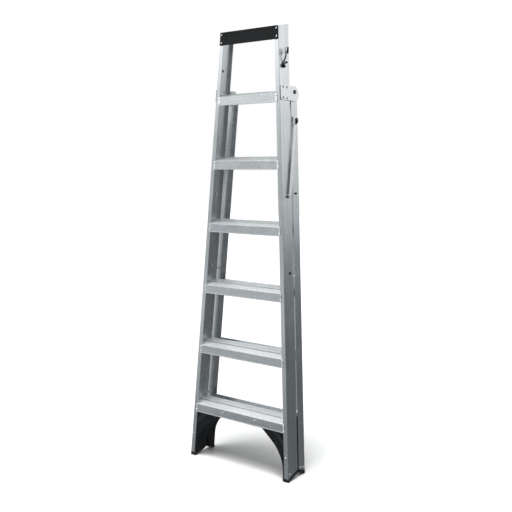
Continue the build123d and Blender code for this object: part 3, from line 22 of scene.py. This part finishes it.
# ---------------------------------------------------------------- node helpers
class Graph:
    """A node tree under construction, with short calls for the nodes used below."""

    def __init__(self, name):
        self.mat = bpy.data.materials.new(name)
        self.mat.use_nodes = True
        self.tree = self.mat.node_tree
        self.tree.nodes.clear()
        self.out = self.tree.nodes.new("ShaderNodeOutputMaterial")
        self.shader = self.tree.nodes.new("ShaderNodeBsdfPrincipled")
        self.tree.links.new(self.shader.outputs["BSDF"], self.out.inputs["Surface"])
        self.coord = self.tree.nodes.new("ShaderNodeTexCoord").outputs["Object"]

    def put(self, value, socket):
        if isinstance(value, bpy.types.NodeSocket):
            self.tree.links.new(value, socket)
        else:
            socket.default_value = value

    def math(self, operation, a, b=None, clamp=False):
        n = self.tree.nodes.new("ShaderNodeMath")
        n.operation = operation
        n.use_clamp = clamp
        self.put(a, n.inputs[0])
        if b is not None:
            self.put(b, n.inputs[1])
        return n.outputs[0]

    def split(self, vector):
        n = self.tree.nodes.new("ShaderNodeSeparateXYZ")
        self.put(vector, n.inputs[0])
        return n.outputs[0], n.outputs[1], n.outputs[2]

    def join(self, x, y, z):
        n = self.tree.nodes.new("ShaderNodeCombineXYZ")
        for value, socket in zip((x, y, z), n.inputs):
            self.put(value, socket)
        return n.outputs[0]

    def noise(self, vector, scale, detail=2.0, rough=0.5, distortion=0.0):
        n = self.tree.nodes.new("ShaderNodeTexNoise")
        self.put(vector, n.inputs["Vector"])
        n.inputs["Scale"].default_value = scale
        n.inputs["Detail"].default_value = detail
        n.inputs["Roughness"].default_value = rough
        n.inputs["Distortion"].default_value = distortion
        return n.outputs["Fac"]

    def cells(self, vector, scale, feature="F1", randomness=1.0):
        n = self.tree.nodes.new("ShaderNodeTexVoronoi")
        n.feature = feature
        self.put(vector, n.inputs["Vector"])
        n.inputs["Scale"].default_value = scale
        n.inputs["Randomness"].default_value = randomness
        return n.outputs["Distance"]

    def spread(self, value, low, high, to_low=0.0, to_high=1.0):
        n = self.tree.nodes.new("ShaderNodeMapRange")
        n.interpolation_type = "SMOOTHSTEP"
        self.put(value, n.inputs["Value"])
        n.inputs["From Min"].default_value = low
        n.inputs["From Max"].default_value = high
        n.inputs["To Min"].default_value = to_low
        n.inputs["To Max"].default_value = to_high
        return n.outputs["Result"]

    def mix(self, factor, a, b):
        n = self.tree.nodes.new("ShaderNodeMix")
        n.data_type = "RGBA"
        self.put(factor, n.inputs["Factor"])
        for value, socket in ((a, n.inputs[6]), (b, n.inputs[7])):
            self.put((*value, 1.0) if isinstance(value, tuple) and len(value) == 3 else value, socket)
        return n.outputs[2]

    def bump(self, height, strength, distance, normal=None):
        n = self.tree.nodes.new("ShaderNodeBump")
        n.inputs["Strength"].default_value = strength
        n.inputs["Distance"].default_value = distance
        self.put(height, n.inputs["Height"])
        if normal is not None:
            self.put(normal, n.inputs["Normal"])
        return n.outputs["Normal"]

    def soft_edge(self, radius):
        """The normal with edges eased to a radius, and a mask that is 1 on the edges."""
        b = self.tree.nodes.new("ShaderNodeBevel")
        b.samples = 4
        b.inputs["Radius"].default_value = radius
        g = self.tree.nodes.new("ShaderNodeNewGeometry")
        d = self.tree.nodes.new("ShaderNodeVectorMath")
        d.operation = "DOT_PRODUCT"
        self.tree.links.new(b.outputs["Normal"], d.inputs[0])
        self.tree.links.new(g.outputs["Normal"], d.inputs[1])
        return b.outputs["Normal"], self.spread(d.outputs["Value"], 0.985, 0.80)

    def crevice(self, distance):
        """1 on open faces, falling towards 0 where faces stand close together."""
        n = self.tree.nodes.new("ShaderNodeAmbientOcclusion")
        n.samples = 8
        n.inputs["Distance"].default_value = distance
        return n.outputs["AO"]

    def face(self):
        """The components of the surface normal."""
        return self.split(self.tree.nodes.new("ShaderNodeNewGeometry").outputs["Normal"])

    def lift(self, normal, amount):
        """The normal leaned upwards by amount."""
        n = self.tree.nodes.new("ShaderNodeVectorMath")
        n.operation = "ADD"
        self.put(normal, n.inputs[0])
        self.put(self.join(0.0, 0.0, amount), n.inputs[1])
        u = self.tree.nodes.new("ShaderNodeVectorMath")
        u.operation = "NORMALIZE"
        self.put(n.outputs["Vector"], u.inputs[0])
        return u.outputs["Vector"]

    def brushed(self, line, amount):
        """Highlights drawn out across die lines that run along line."""
        n = self.tree.nodes.new("ShaderNodeVectorMath")
        n.operation = "CROSS_PRODUCT"
        self.put(self.tree.nodes.new("ShaderNodeNewGeometry").outputs["Normal"], n.inputs[0])
        n.inputs[1].default_value = line
        self.put(n.outputs["Vector"], self.shader.inputs["Tangent"])
        self.shader.inputs["Anisotropic"].default_value = amount

    def finish(self, color, roughness, normal, metallic=0.0, specular=0.5):
        self.put(color, self.shader.inputs["Base Color"])
        self.put(roughness, self.shader.inputs["Roughness"])
        self.put(normal, self.shader.inputs["Normal"])
        self.put(metallic, self.shader.inputs["Metallic"])
        self.shader.inputs["Specular IOR Level"].default_value = specular
        return self.mat


# ------------------------------------------------------------------- materials
def drawn_aluminium(name, line_axis, dark, light, edge, rough_low, rough_high):
    """Mill-finish extrusion: die lines along the profile, cloudy oxide, handling scuffs, edges paler partly
    from wear and partly as a painted highlight.
    """
    g = Graph(name)
    x, y, z = g.split(g.coord)
    if line_axis == "rail":
        across = g.math("ADD", g.math("ABSOLUTE", x), g.math("MULTIPLY", z, RAIL_LEAN))
        die = g.join(across, y, g.math("MULTIPLY", z, 0.005))
        band = g.join(across, y, g.math("MULTIPLY", z, 0.03))
        scuff_at = g.join(g.math("MULTIPLY", x, 0.35), g.math("MULTIPLY", y, 0.35), g.math("MULTIPLY", z, 6.0))
    else:
        die = g.join(g.math("MULTIPLY", x, 0.005), y, z)
        band = g.join(g.math("MULTIPLY", x, 0.03), y, z)
        scuff_at = g.join(g.math("MULTIPLY", x, 5.0), g.math("MULTIPLY", y, 0.4), g.math("MULTIPLY", z, 0.4))
    lines = g.noise(die, 900.0, 3.0, 0.6)
    bands = g.noise(band, 90.0, 3.0, 0.55)
    cloud = g.noise(g.coord, 9.0, 5.0, 0.62, 0.4)
    speck = g.noise(g.coord, 420.0, 2.0, 0.6)
    scuffs = g.spread(g.noise(scuff_at, 55.0, 2.0, 0.5), 0.66, 0.74)
    normal, edge_mask = g.soft_edge(0.0011)

    tone = g.math("ADD", g.math("MULTIPLY", bands, 0.42), g.math("MULTIPLY", cloud, 0.40))
    tone = g.math("ADD", tone, g.math("MULTIPLY", lines, 0.18))
    color = g.mix(g.spread(tone, 0.36, 0.64), dark, light)
    color = g.mix(g.math("MULTIPLY", g.spread(speck, 0.60, 0.72), 0.12), color, tuple(0.55 * c for c in dark))
    color = g.mix(g.math("MULTIPLY", scuffs, 0.07), color, edge)
    # the edges are paler, partly wear and partly a painted highlight
    color = g.mix(g.math("MULTIPLY", edge_mask, 0.75), color, edge)

    rough = g.spread(g.math("ADD", g.math("MULTIPLY", lines, 0.5), g.math("MULTIPLY", cloud, 0.5)), 0.32, 0.68, rough_low, rough_high)
    rough = g.math("SUBTRACT", rough, g.math("MULTIPLY", edge_mask, 0.06), clamp=True)
    rough = g.math("ADD", rough, g.math("MULTIPLY", scuffs, 0.07), clamp=True)

    # painted shade, with some grime, darkens the colour where the faces stand close together
    grime_and_shade = g.math("MULTIPLY", g.spread(g.crevice(0.022), 0.46, 0.10), 0.62)
    color = g.mix(grime_and_shade, color, (0.13, 0.135, 0.14))

    height = g.math("ADD", g.math("MULTIPLY", lines, 0.86), g.math("MULTIPLY", speck, 0.14))
    normal = g.bump(height, 0.12, 0.0003, normal)
    metallic = 1.0
    if line_axis == "rail":
        g.brushed((0.0, 0.0, 1.0), 0.75)
    else:
        nx, ny, nz = g.face()
        # the standing surface is scuffed matt by feet, and its colour is paler as a painted highlight of the
        # light from above; the walls keep the duller skin of the extrusion
        trodden_and_lit = g.spread(nz, 0.55, 0.85)
        color = g.mix(g.math("MULTIPLY", trodden_and_lit, 0.80), color, (0.94, 0.955, 0.965))
        rough = g.math("ADD", rough, g.math("MULTIPLY", trodden_and_lit, 0.16), clamp=True)
        metallic = g.math("SUBTRACT", 1.0, g.math("MULTIPLY", trodden_and_lit, 0.60))
        # painted highlight: the clinched tabs where the treads meet the rails are coloured paler, and their
        # normals leaned upwards
        across = g.math("ADD", g.math("ABSOLUTE", x), g.math("MULTIPLY", z, RAIL_LEAN))
        tab_highlight = g.math("MULTIPLY", g.spread(across, 0.2680, 0.2690), g.spread(ny, -0.5, -0.8))
        color = g.mix(g.math("MULTIPLY", tab_highlight, 0.85), color, (0.84, 0.86, 0.87))
        normal = g.lift(normal, g.math("MULTIPLY", tab_highlight, 0.065))
        # the rear treads' front walls are rolled back a little at the lip
        lip = g.math("MULTIPLY", g.spread(y, 0.012, 0.018), g.spread(ny, -0.5, -0.8))
        normal = g.lift(normal, g.math("MULTIPLY", lip, 0.17))
    return g.finish(color, rough, normal, metallic=metallic)


def rivet_alloy():
    g = Graph("rivet_metal")
    grain = g.noise(g.coord, 1500.0, 3.0, 0.6)
    cloud = g.noise(g.coord, 160.0, 3.0, 0.5)
    normal, edge_mask = g.soft_edge(0.0006)
    color = g.mix(g.spread(cloud, 0.35, 0.66), (0.76, 0.77, 0.78), (0.92, 0.925, 0.93))
    color = g.mix(g.math("MULTIPLY", g.spread(grain, 0.58, 0.70), 0.35), color, (0.52, 0.525, 0.53))
    color = g.mix(g.math("MULTIPLY", edge_mask, 0.5), color, (0.95, 0.95, 0.95))
    rough = g.spread(grain, 0.3, 0.7, 0.24, 0.42)
    x, y, z = g.split(g.coord)
    normal = g.lift(g.bump(grain, 0.20, 0.0002, normal), g.math("SUBTRACT", 0.34, g.math("MULTIPLY", z, 0.12)))
    return g.finish(color, rough, normal, metallic=1.0)


def zinc_plate():
    """Electroplated zinc: rolled grain under a film that drifts between blue and straw."""
    g = Graph("zinc_steel")
    x, y, z = g.split(g.coord)
    roll = g.noise(g.join(x, y, g.math("MULTIPLY", z, 0.04)), 700.0, 3.0, 0.6)
    film = g.noise(g.coord, 26.0, 3.0, 0.55, 0.6)
    mottle = g.cells(g.coord, 340.0)
    normal, edge_mask = g.soft_edge(0.0009)
    color = g.mix(g.spread(film, 0.34, 0.66), (0.88, 0.90, 0.915), (0.91, 0.92, 0.925))
    color = g.mix(g.math("MULTIPLY", g.spread(mottle, 0.25, 0.75), 0.22), color, (0.93, 0.935, 0.94))
    color = g.mix(g.math("MULTIPLY", g.spread(roll, 0.55, 0.72), 0.20), color, (0.44, 0.45, 0.46))
    color = g.mix(g.math("MULTIPLY", edge_mask, 0.45), color, (0.86, 0.86, 0.86))
    # painted shade darkens the plates' edges, and is lighter along the stays
    nx, ny, nz = g.face()
    edge_shade = g.spread(g.math("ABSOLUTE", nx), 0.60, 0.40)
    rubbed = g.math("MULTIPLY", g.spread(z, 1.304, 1.322), g.spread(z, 1.70, 1.69))
    color = g.mix(g.math("MULTIPLY", edge_shade, g.math("SUBTRACT", 0.94, g.math("MULTIPLY", rubbed, 0.78))), color, (0.088, 0.090, 0.093))
    # painted shade: the parking studs are coloured near-black
    across = g.math("ADD", g.math("ABSOLUTE", x), g.math("MULTIPLY", z, RAIL_LEAN))
    stud_shade = g.math("MULTIPLY", g.spread(g.math("ABSOLUTE", g.math("SUBTRACT", z, 0.964)), 0.022, 0.018), g.spread(across, 0.2916, 0.2924))
    color = g.mix(g.math("MULTIPLY", stud_shade, 0.88), color, (0.050, 0.051, 0.053))
    # the latch pivots' upset tails inside the rails are coloured near-black too
    tail = g.math("MULTIPLY", g.spread(g.math("ABSOLUTE", g.math("SUBTRACT", z, 1.895)), 0.016, 0.012), g.spread(across, 0.2902, 0.2894))
    color = g.mix(g.math("MULTIPLY", tail, 0.85), color, (0.060, 0.061, 0.063))
    rough = g.spread(g.math("ADD", g.math("MULTIPLY", roll, 0.6), g.math("MULTIPLY", mottle, 0.4)), 0.25, 0.70, 0.28, 0.46)
    height = g.math("ADD", g.math("MULTIPLY", roll, 0.7), g.math("MULTIPLY", mottle, 0.3))
    normal = g.bump(height, 0.18, 0.0002, normal)
    return g.finish(color, rough, normal, metallic=1.0)


def dark_steel():
    """Phosphated steel: charcoal, finely grained, rubbed through to grey on its edges."""
    g = Graph("dark_steel")
    grain = g.noise(g.coord, 1300.0, 3.0, 0.6)
    cloud = g.noise(g.coord, 130.0, 3.0, 0.55)
    normal, edge_mask = g.soft_edge(0.0007)
    color = g.mix(g.spread(cloud, 0.34, 0.66), (0.075, 0.078, 0.082), (0.15, 0.155, 0.16))
    color = g.mix(g.math("MULTIPLY", g.spread(grain, 0.56, 0.72), 0.4), color, (0.045, 0.046, 0.048))
    color = g.mix(g.math("MULTIPLY", edge_mask, 0.5), color, (0.36, 0.365, 0.37))
    # the hinge bolts are paler in the middle of their heads
    x, y, z = g.split(g.coord)
    off_y, off_z = g.math("SUBTRACT", y, 0.0444), g.math("SUBTRACT", z, 1.788)
    radial = g.math("SQRT", g.math("ADD", g.math("MULTIPLY", off_y, off_y), g.math("MULTIPLY", off_z, off_z)))
    color = g.mix(g.math("MULTIPLY", g.spread(radial, 0.0048, 0.0036), 0.9), color, (0.80, 0.81, 0.82))
    # the latch levers are a paler grey above their hubs
    color = g.mix(g.math("MULTIPLY", g.spread(z, 1.904, 1.912), 0.75), color, (0.40, 0.405, 0.41))
    rough = g.spread(grain, 0.3, 0.7, 0.34, 0.52)
    normal = g.bump(grain, 0.22, 0.0002, normal)
    return g.finish(color, rough, normal, metallic=1.0)


def moulded_plastic():
    """Black polypropylene: spark-eroded mould grain, rubbed edges, faint grey scuffs."""
    g = Graph("black_plastic")
    x, y, z = g.split(g.coord)
    grain = g.noise(g.coord, 1100.0, 3.0, 0.65)
    pebble = g.cells(g.coord, 900.0)
    cloud = g.noise(g.coord, 22.0, 4.0, 0.6)
    rubs = g.spread(g.noise(g.join(g.math("MULTIPLY", x, 3.0), y, g.math("MULTIPLY", z, 0.5)), 70.0, 3.0, 0.55), 0.60, 0.76)
    normal, edge_mask = g.soft_edge(0.0010)
    color = g.mix(g.spread(cloud, 0.33, 0.68), (0.0035, 0.0050, 0.0060), (0.0075, 0.0100, 0.0115))
    color = g.mix(g.math("MULTIPLY", g.spread(grain, 0.52, 0.74), 0.4), color, (0.014, 0.017, 0.0185))
    color = g.mix(g.math("MULTIPLY", rubs, 0.20), color, (0.040, 0.042, 0.043))
    color = g.mix(g.math("MULTIPLY", edge_mask, 0.45), color, (0.055, 0.057, 0.058))
    # painted highlight: the crests of the gussets' ribs are coloured grey
    rib_highlight = g.math("MULTIPLY", g.spread(y, -0.0729, -0.0737), g.spread(z, 0.30, 0.26))
    color = g.mix(g.math("MULTIPLY", rib_highlight, 0.9), color, (0.050, 0.054, 0.056))
    rough = g.spread(g.math("ADD", g.math("MULTIPLY", grain, 0.5), g.math("MULTIPLY", cloud, 0.5)), 0.34, 0.66, 0.38, 0.58)
    height = g.math("ADD", g.math("MULTIPLY", grain, 0.5), g.math("MULTIPLY", pebble, 0.5))
    normal = g.bump(height, 0.28, 0.0003, normal)
    return g.finish(color, rough, normal, specular=0.22)


def moulded_rubber():
    """Black rubber with a dusty bloom that is heaviest at the ground."""
    g = Graph("black_rubber")
    x, y, z = g.split(g.coord)
    grain = g.noise(g.coord, 750.0, 3.0, 0.65)
    bloom = g.noise(g.coord, 60.0, 4.0, 0.65)
    normal, edge_mask = g.soft_edge(0.0012)
    low = g.spread(z, 0.030, 0.002)
    dust = g.math("MULTIPLY", g.spread(bloom, 0.38, 0.70), g.math("ADD", g.math("MULTIPLY", low, 0.16), 0.05))
    color = g.mix(g.spread(grain, 0.34, 0.68), (0.006, 0.0065, 0.007), (0.012, 0.0125, 0.013))
    color = g.mix(dust, color, (0.16, 0.155, 0.145))
    color = g.mix(g.math("MULTIPLY", edge_mask, 0.30), color, (0.045, 0.045, 0.044))
    # the latch stops' stubs inside the rails are chalky
    across = g.math("ADD", g.math("ABSOLUTE", x), g.math("MULTIPLY", z, RAIL_LEAN))
    stub = g.math("MULTIPLY", g.spread(z, 1.75, 1.80), g.spread(across, 0.2902, 0.2894))
    color = g.mix(g.math("MULTIPLY", stub, 0.8), color, (0.40, 0.405, 0.41))
    rough = g.spread(g.math("ADD", g.math("MULTIPLY", grain, 0.4), g.math("MULTIPLY", bloom, 0.6)), 0.35, 0.66, 0.62, 0.88)
    normal = g.bump(grain, 0.35, 0.0004, normal)
    return g.finish(color, rough, normal, specular=0.18)


def plain_nylon():
    g = Graph("pale_nylon")
    grain = g.noise(g.coord, 800.0, 3.0, 0.6)
    cloud = g.noise(g.coord, 120.0, 3.0, 0.55)
    normal, edge_mask = g.soft_edge(0.0007)
    color = g.mix(g.spread(cloud, 0.35, 0.66), (0.76, 0.76, 0.74), (0.88, 0.88, 0.86))
    color = g.mix(g.math("MULTIPLY", edge_mask, 0.3), color, (0.60, 0.59, 0.56))
    rough = g.spread(grain, 0.35, 0.65, 0.36, 0.52)
    normal = g.bump(grain, 0.18, 0.0002, normal)
    g.shader.inputs["Subsurface Weight"].default_value = 0.12
    g.shader.inputs["Subsurface Scale"].default_value = 0.002
    g.shader.inputs["Subsurface Radius"].default_value = (1.0, 0.95, 0.9)
    return g.finish(color, rough, normal)


materials = {
    "rail_aluminium": drawn_aluminium("rail_aluminium", "rail", (0.66, 0.69, 0.71), (0.79, 0.82, 0.84), (0.90, 0.92, 0.93), 0.24, 0.34),
    "tread_aluminium": drawn_aluminium("tread_aluminium", "tread", (0.60, 0.63, 0.65), (0.73, 0.76, 0.78), (0.88, 0.90, 0.91), 0.22, 0.33),
    "rivet_metal": rivet_alloy(),
    "zinc_steel": zinc_plate(),
    "dark_steel": dark_steel(),
    "black_plastic": moulded_plastic(),
    "black_rubber": moulded_rubber(),
    "pale_nylon": plain_nylon(),
}
for name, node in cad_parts.items():
    for slot in node.material_slots:
        slot.material = materials[slot.material.name.split(".")[0]]


# ------------------------------------------------------------------------ floor
def make_floor():
    mesh = bpy.data.meshes.new("studio_floor")
    r = 40.0
    mesh.from_pydata([(-r, -r, 0), (r, -r, 0), (r, r, 0), (-r, r, 0)], [], [(0, 1, 2, 3)])
    floor = bpy.data.objects.new("studio_floor", mesh)
    bpy.context.scene.collection.objects.link(floor)
    g = Graph("studio_floor")
    cloud = g.noise(g.coord, 1.2, 3.0, 0.5)
    grain = g.noise(g.coord, 260.0, 2.0, 0.5)
    color = g.mix(g.spread(cloud, 0.3, 0.7), (0.53, 0.53, 0.53), (0.545, 0.545, 0.545))
    rough = g.spread(grain, 0.3, 0.7, 0.80, 0.92)
    g.finish(color, rough, g.bump(grain, 0.02, 0.0005), specular=0.2)
    mesh.materials.append(g.mat)
    floor.visible_glossy = False
    return floor


floor = make_floor()


# ----------------------------------------------------------------------- lights
def overhead(name, tilt, energy, spread):
    """A broad overhead source; tilt is how far it stands off the vertical, in x and y."""
    light = bpy.data.lights.new(name, "SUN")
    light.energy = energy
    light.angle = math.radians(spread)
    obj = bpy.data.objects.new(name, light)
    obj.rotation_euler = (-Vector((tilt[0], tilt[1], 1.0))).to_track_quat("-Z", "Y").to_euler()
    obj.location = (tilt[0] * 4.0, tilt[1] * 4.0, 4.0)
    bpy.context.scene.collection.objects.link(obj)
    return obj


overhead("key_overhead", (0.0, -0.235), 2.1, 18.0)
floor_lamp = overhead("floor_overhead", (0.08, -0.30), 3.7, 38.0)
floor_only = bpy.data.collections.new("floor_only")
floor_only.objects.link(floor)
floor_lamp.light_linking.receiver_collection = floor_only

# a studio with a pale wall at the front left and a brighter one over a dark floor at the right rear;
# each list gives the brightness seen at an elevation in degrees
FRONT_LEFT = [(-90, 0.10), (-40, 0.15), (-22, 0.21), (-16, 0.38), (-12, 0.50), (-9.5, 0.90), (-8, 0.72), (-6, 0.54), (-2, 0.49),
              (2, 0.46), (5, 0.78), (7.5, 0.46), (9, 0.84), (10.5, 1.50), (13, 1.64), (20, 1.45), (28, 1.15), (40, 0.55), (55, 0.28),
              (90, 0.18)]
RIGHT_REAR = [(-90, 0.06), (-30, 0.12), (-16, 0.15), (-12, 0.13), (-8.5, 0.13), (-6, 0.15), (-3.8, 0.25), (-1.5, 0.12), (0.5, 0.42),
              (2.7, 0.64), (5, 0.52), (7, 1.02), (9, 0.56), (11.5, 1.14), (18, 0.97), (28, 1.05), (40, 0.65), (55, 0.28), (90, 0.18)]
FRONT_RIGHT = 0.18          # the dark side of the room
REAR_LEFT = 0.70            # a lit panel that the treads mirror
LEFT = 0.62                 # a plain grey screen beside it
world = bpy.data.worlds.new("studio")
bpy.context.scene.world = world
world.use_nodes = True
wt = world.node_tree
wt.nodes.clear()
w_out = wt.nodes.new("ShaderNodeOutputWorld")
w_coord = wt.nodes.new("ShaderNodeTexCoord")
w_split = wt.nodes.new("ShaderNodeSeparateXYZ")
wt.links.new(w_coord.outputs["Generated"], w_split.inputs[0])
w_range = wt.nodes.new("ShaderNodeMapRange")
w_range.inputs["From Min"].default_value = -1.0
w_range.inputs["From Max"].default_value = 1.0
wt.links.new(w_split.outputs["Z"], w_range.inputs["Value"])


def wall(stops):
    node = wt.nodes.new("ShaderNodeValToRGB")
    wt.links.new(w_range.outputs["Result"], node.inputs["Fac"])
    ramp = node.color_ramp
    while len(ramp.elements) < len(stops):
        ramp.elements.new(0.5)
    for element, (degrees, value) in zip(ramp.elements, stops):
        element.position = (math.sin(math.radians(degrees)) + 1.0) / 2.0
        dim = 1.0 - min(1.0, value)
        element.color = (value / 2.0 * (1.0 - 0.09 * dim), value / 2.0, value / 2.0 * (1.0 + 0.03 * dim), 1.0)
    return node.outputs["Color"]


w_side = wt.nodes.new("ShaderNodeVectorMath")
w_side.operation = "DOT_PRODUCT"
wt.links.new(w_coord.outputs["Generated"], w_side.inputs[0])
w_side.inputs[1].default_value = (0.575, 0.818, 0.0)
w_turn = wt.nodes.new("ShaderNodeMapRange")
w_turn.interpolation_type = "SMOOTHSTEP"
w_turn.inputs["From Min"].default_value = -0.5
w_turn.inputs["From Max"].default_value = 0.5
wt.links.new(w_side.outputs["Value"], w_turn.inputs["Value"])
w_walls = wt.nodes.new("ShaderNodeMix")
w_walls.data_type = "RGBA"
wt.links.new(w_turn.outputs["Result"], w_walls.inputs["Factor"])
wt.links.new(wall(FRONT_LEFT), w_walls.inputs[6])
wt.links.new(wall(RIGHT_REAR), w_walls.inputs[7])


def patch(below, direction, start, end, blend, value):
    """One part of the room, seen around a direction."""
    dot = wt.nodes.new("ShaderNodeVectorMath")
    dot.operation = "DOT_PRODUCT"
    wt.links.new(w_coord.outputs["Generated"], dot.inputs[0])
    dot.inputs[1].default_value = Vector(direction).normalized()
    fade = wt.nodes.new("ShaderNodeMapRange")
    fade.interpolation_type = "SMOOTHSTEP"
    fade.inputs["From Min"].default_value = start
    fade.inputs["From Max"].default_value = end
    wt.links.new(dot.outputs["Value"], fade.inputs["Value"])
    over = wt.nodes.new("ShaderNodeMix")
    over.data_type = "RGBA"
    over.blend_type = blend
    wt.links.new(fade.outputs["Result"], over.inputs["Factor"])
    wt.links.new(below, over.inputs[6])
    over.inputs[7].default_value = (value / 2.0, value / 2.0, value / 2.0, 1.0)
    return over.outputs[2]


w_room = patch(w_walls.outputs[2], (0.573, -0.815, 0.0), 0.60, 0.92, "MIX", FRONT_RIGHT)
w_room = patch(w_room, (-0.57, 0.68, 0.44), 0.80, 0.95, "ADD", REAR_LEFT)
w_room = patch(w_room, (-0.95, 0.28, 0.16), 0.88, 0.96, "MIX", LEFT)
w_light = wt.nodes.new("ShaderNodeBackground")
wt.links.new(w_room, w_light.inputs["Color"])
w_light.inputs["Strength"].default_value = 2.0
w_plain = wt.nodes.new("ShaderNodeBackground")
w_plain.inputs["Color"].default_value = (1.0, 1.0, 1.0, 1.0)
w_plain.inputs["Strength"].default_value = 1.0
w_path = wt.nodes.new("ShaderNodeLightPath")
w_mix = wt.nodes.new("ShaderNodeMixShader")
wt.links.new(w_path.outputs["Is Camera Ray"], w_mix.inputs["Fac"])
wt.links.new(w_light.outputs["Background"], w_mix.inputs[1])
wt.links.new(w_plain.outputs["Background"], w_mix.inputs[2])
wt.links.new(w_mix.outputs["Shader"], w_out.inputs["Surface"])

bpy.context.scene.view_settings.view_transform = "Standard"


# ----------------------------------------------------------------------- camera
AZIMUTH, PITCH, ROLL = math.radians(35.09), math.radians(4.79), math.radians(1.59)
forward = Vector((-math.sin(AZIMUTH) * math.cos(PITCH), math.cos(AZIMUTH) * math.cos(PITCH), -math.sin(PITCH)))
right = Vector((math.cos(AZIMUTH), math.sin(AZIMUTH), 0.0))
up = right.cross(forward)
right, up = right * math.cos(ROLL) + up * math.sin(ROLL), up * math.cos(ROLL) - right * math.sin(ROLL)
camera_data = bpy.data.cameras.new("camera")
camera_data.sensor_fit = "HORIZONTAL"
camera_data.sensor_width = 36.0
camera_data.lens = 712.2 / 512.0 * 36.0
camera = bpy.data.objects.new("camera", camera_data)
camera.matrix_world = Matrix.Translation((1.9666, -2.7670, 1.3055)) @ Matrix((right, up, -forward)).transposed().to_4x4()
bpy.context.scene.collection.objects.link(camera)
bpy.context.scene.camera = camera


# ------------------------------------------------------------------------- update the view layer
bpy.context.view_layer.update()
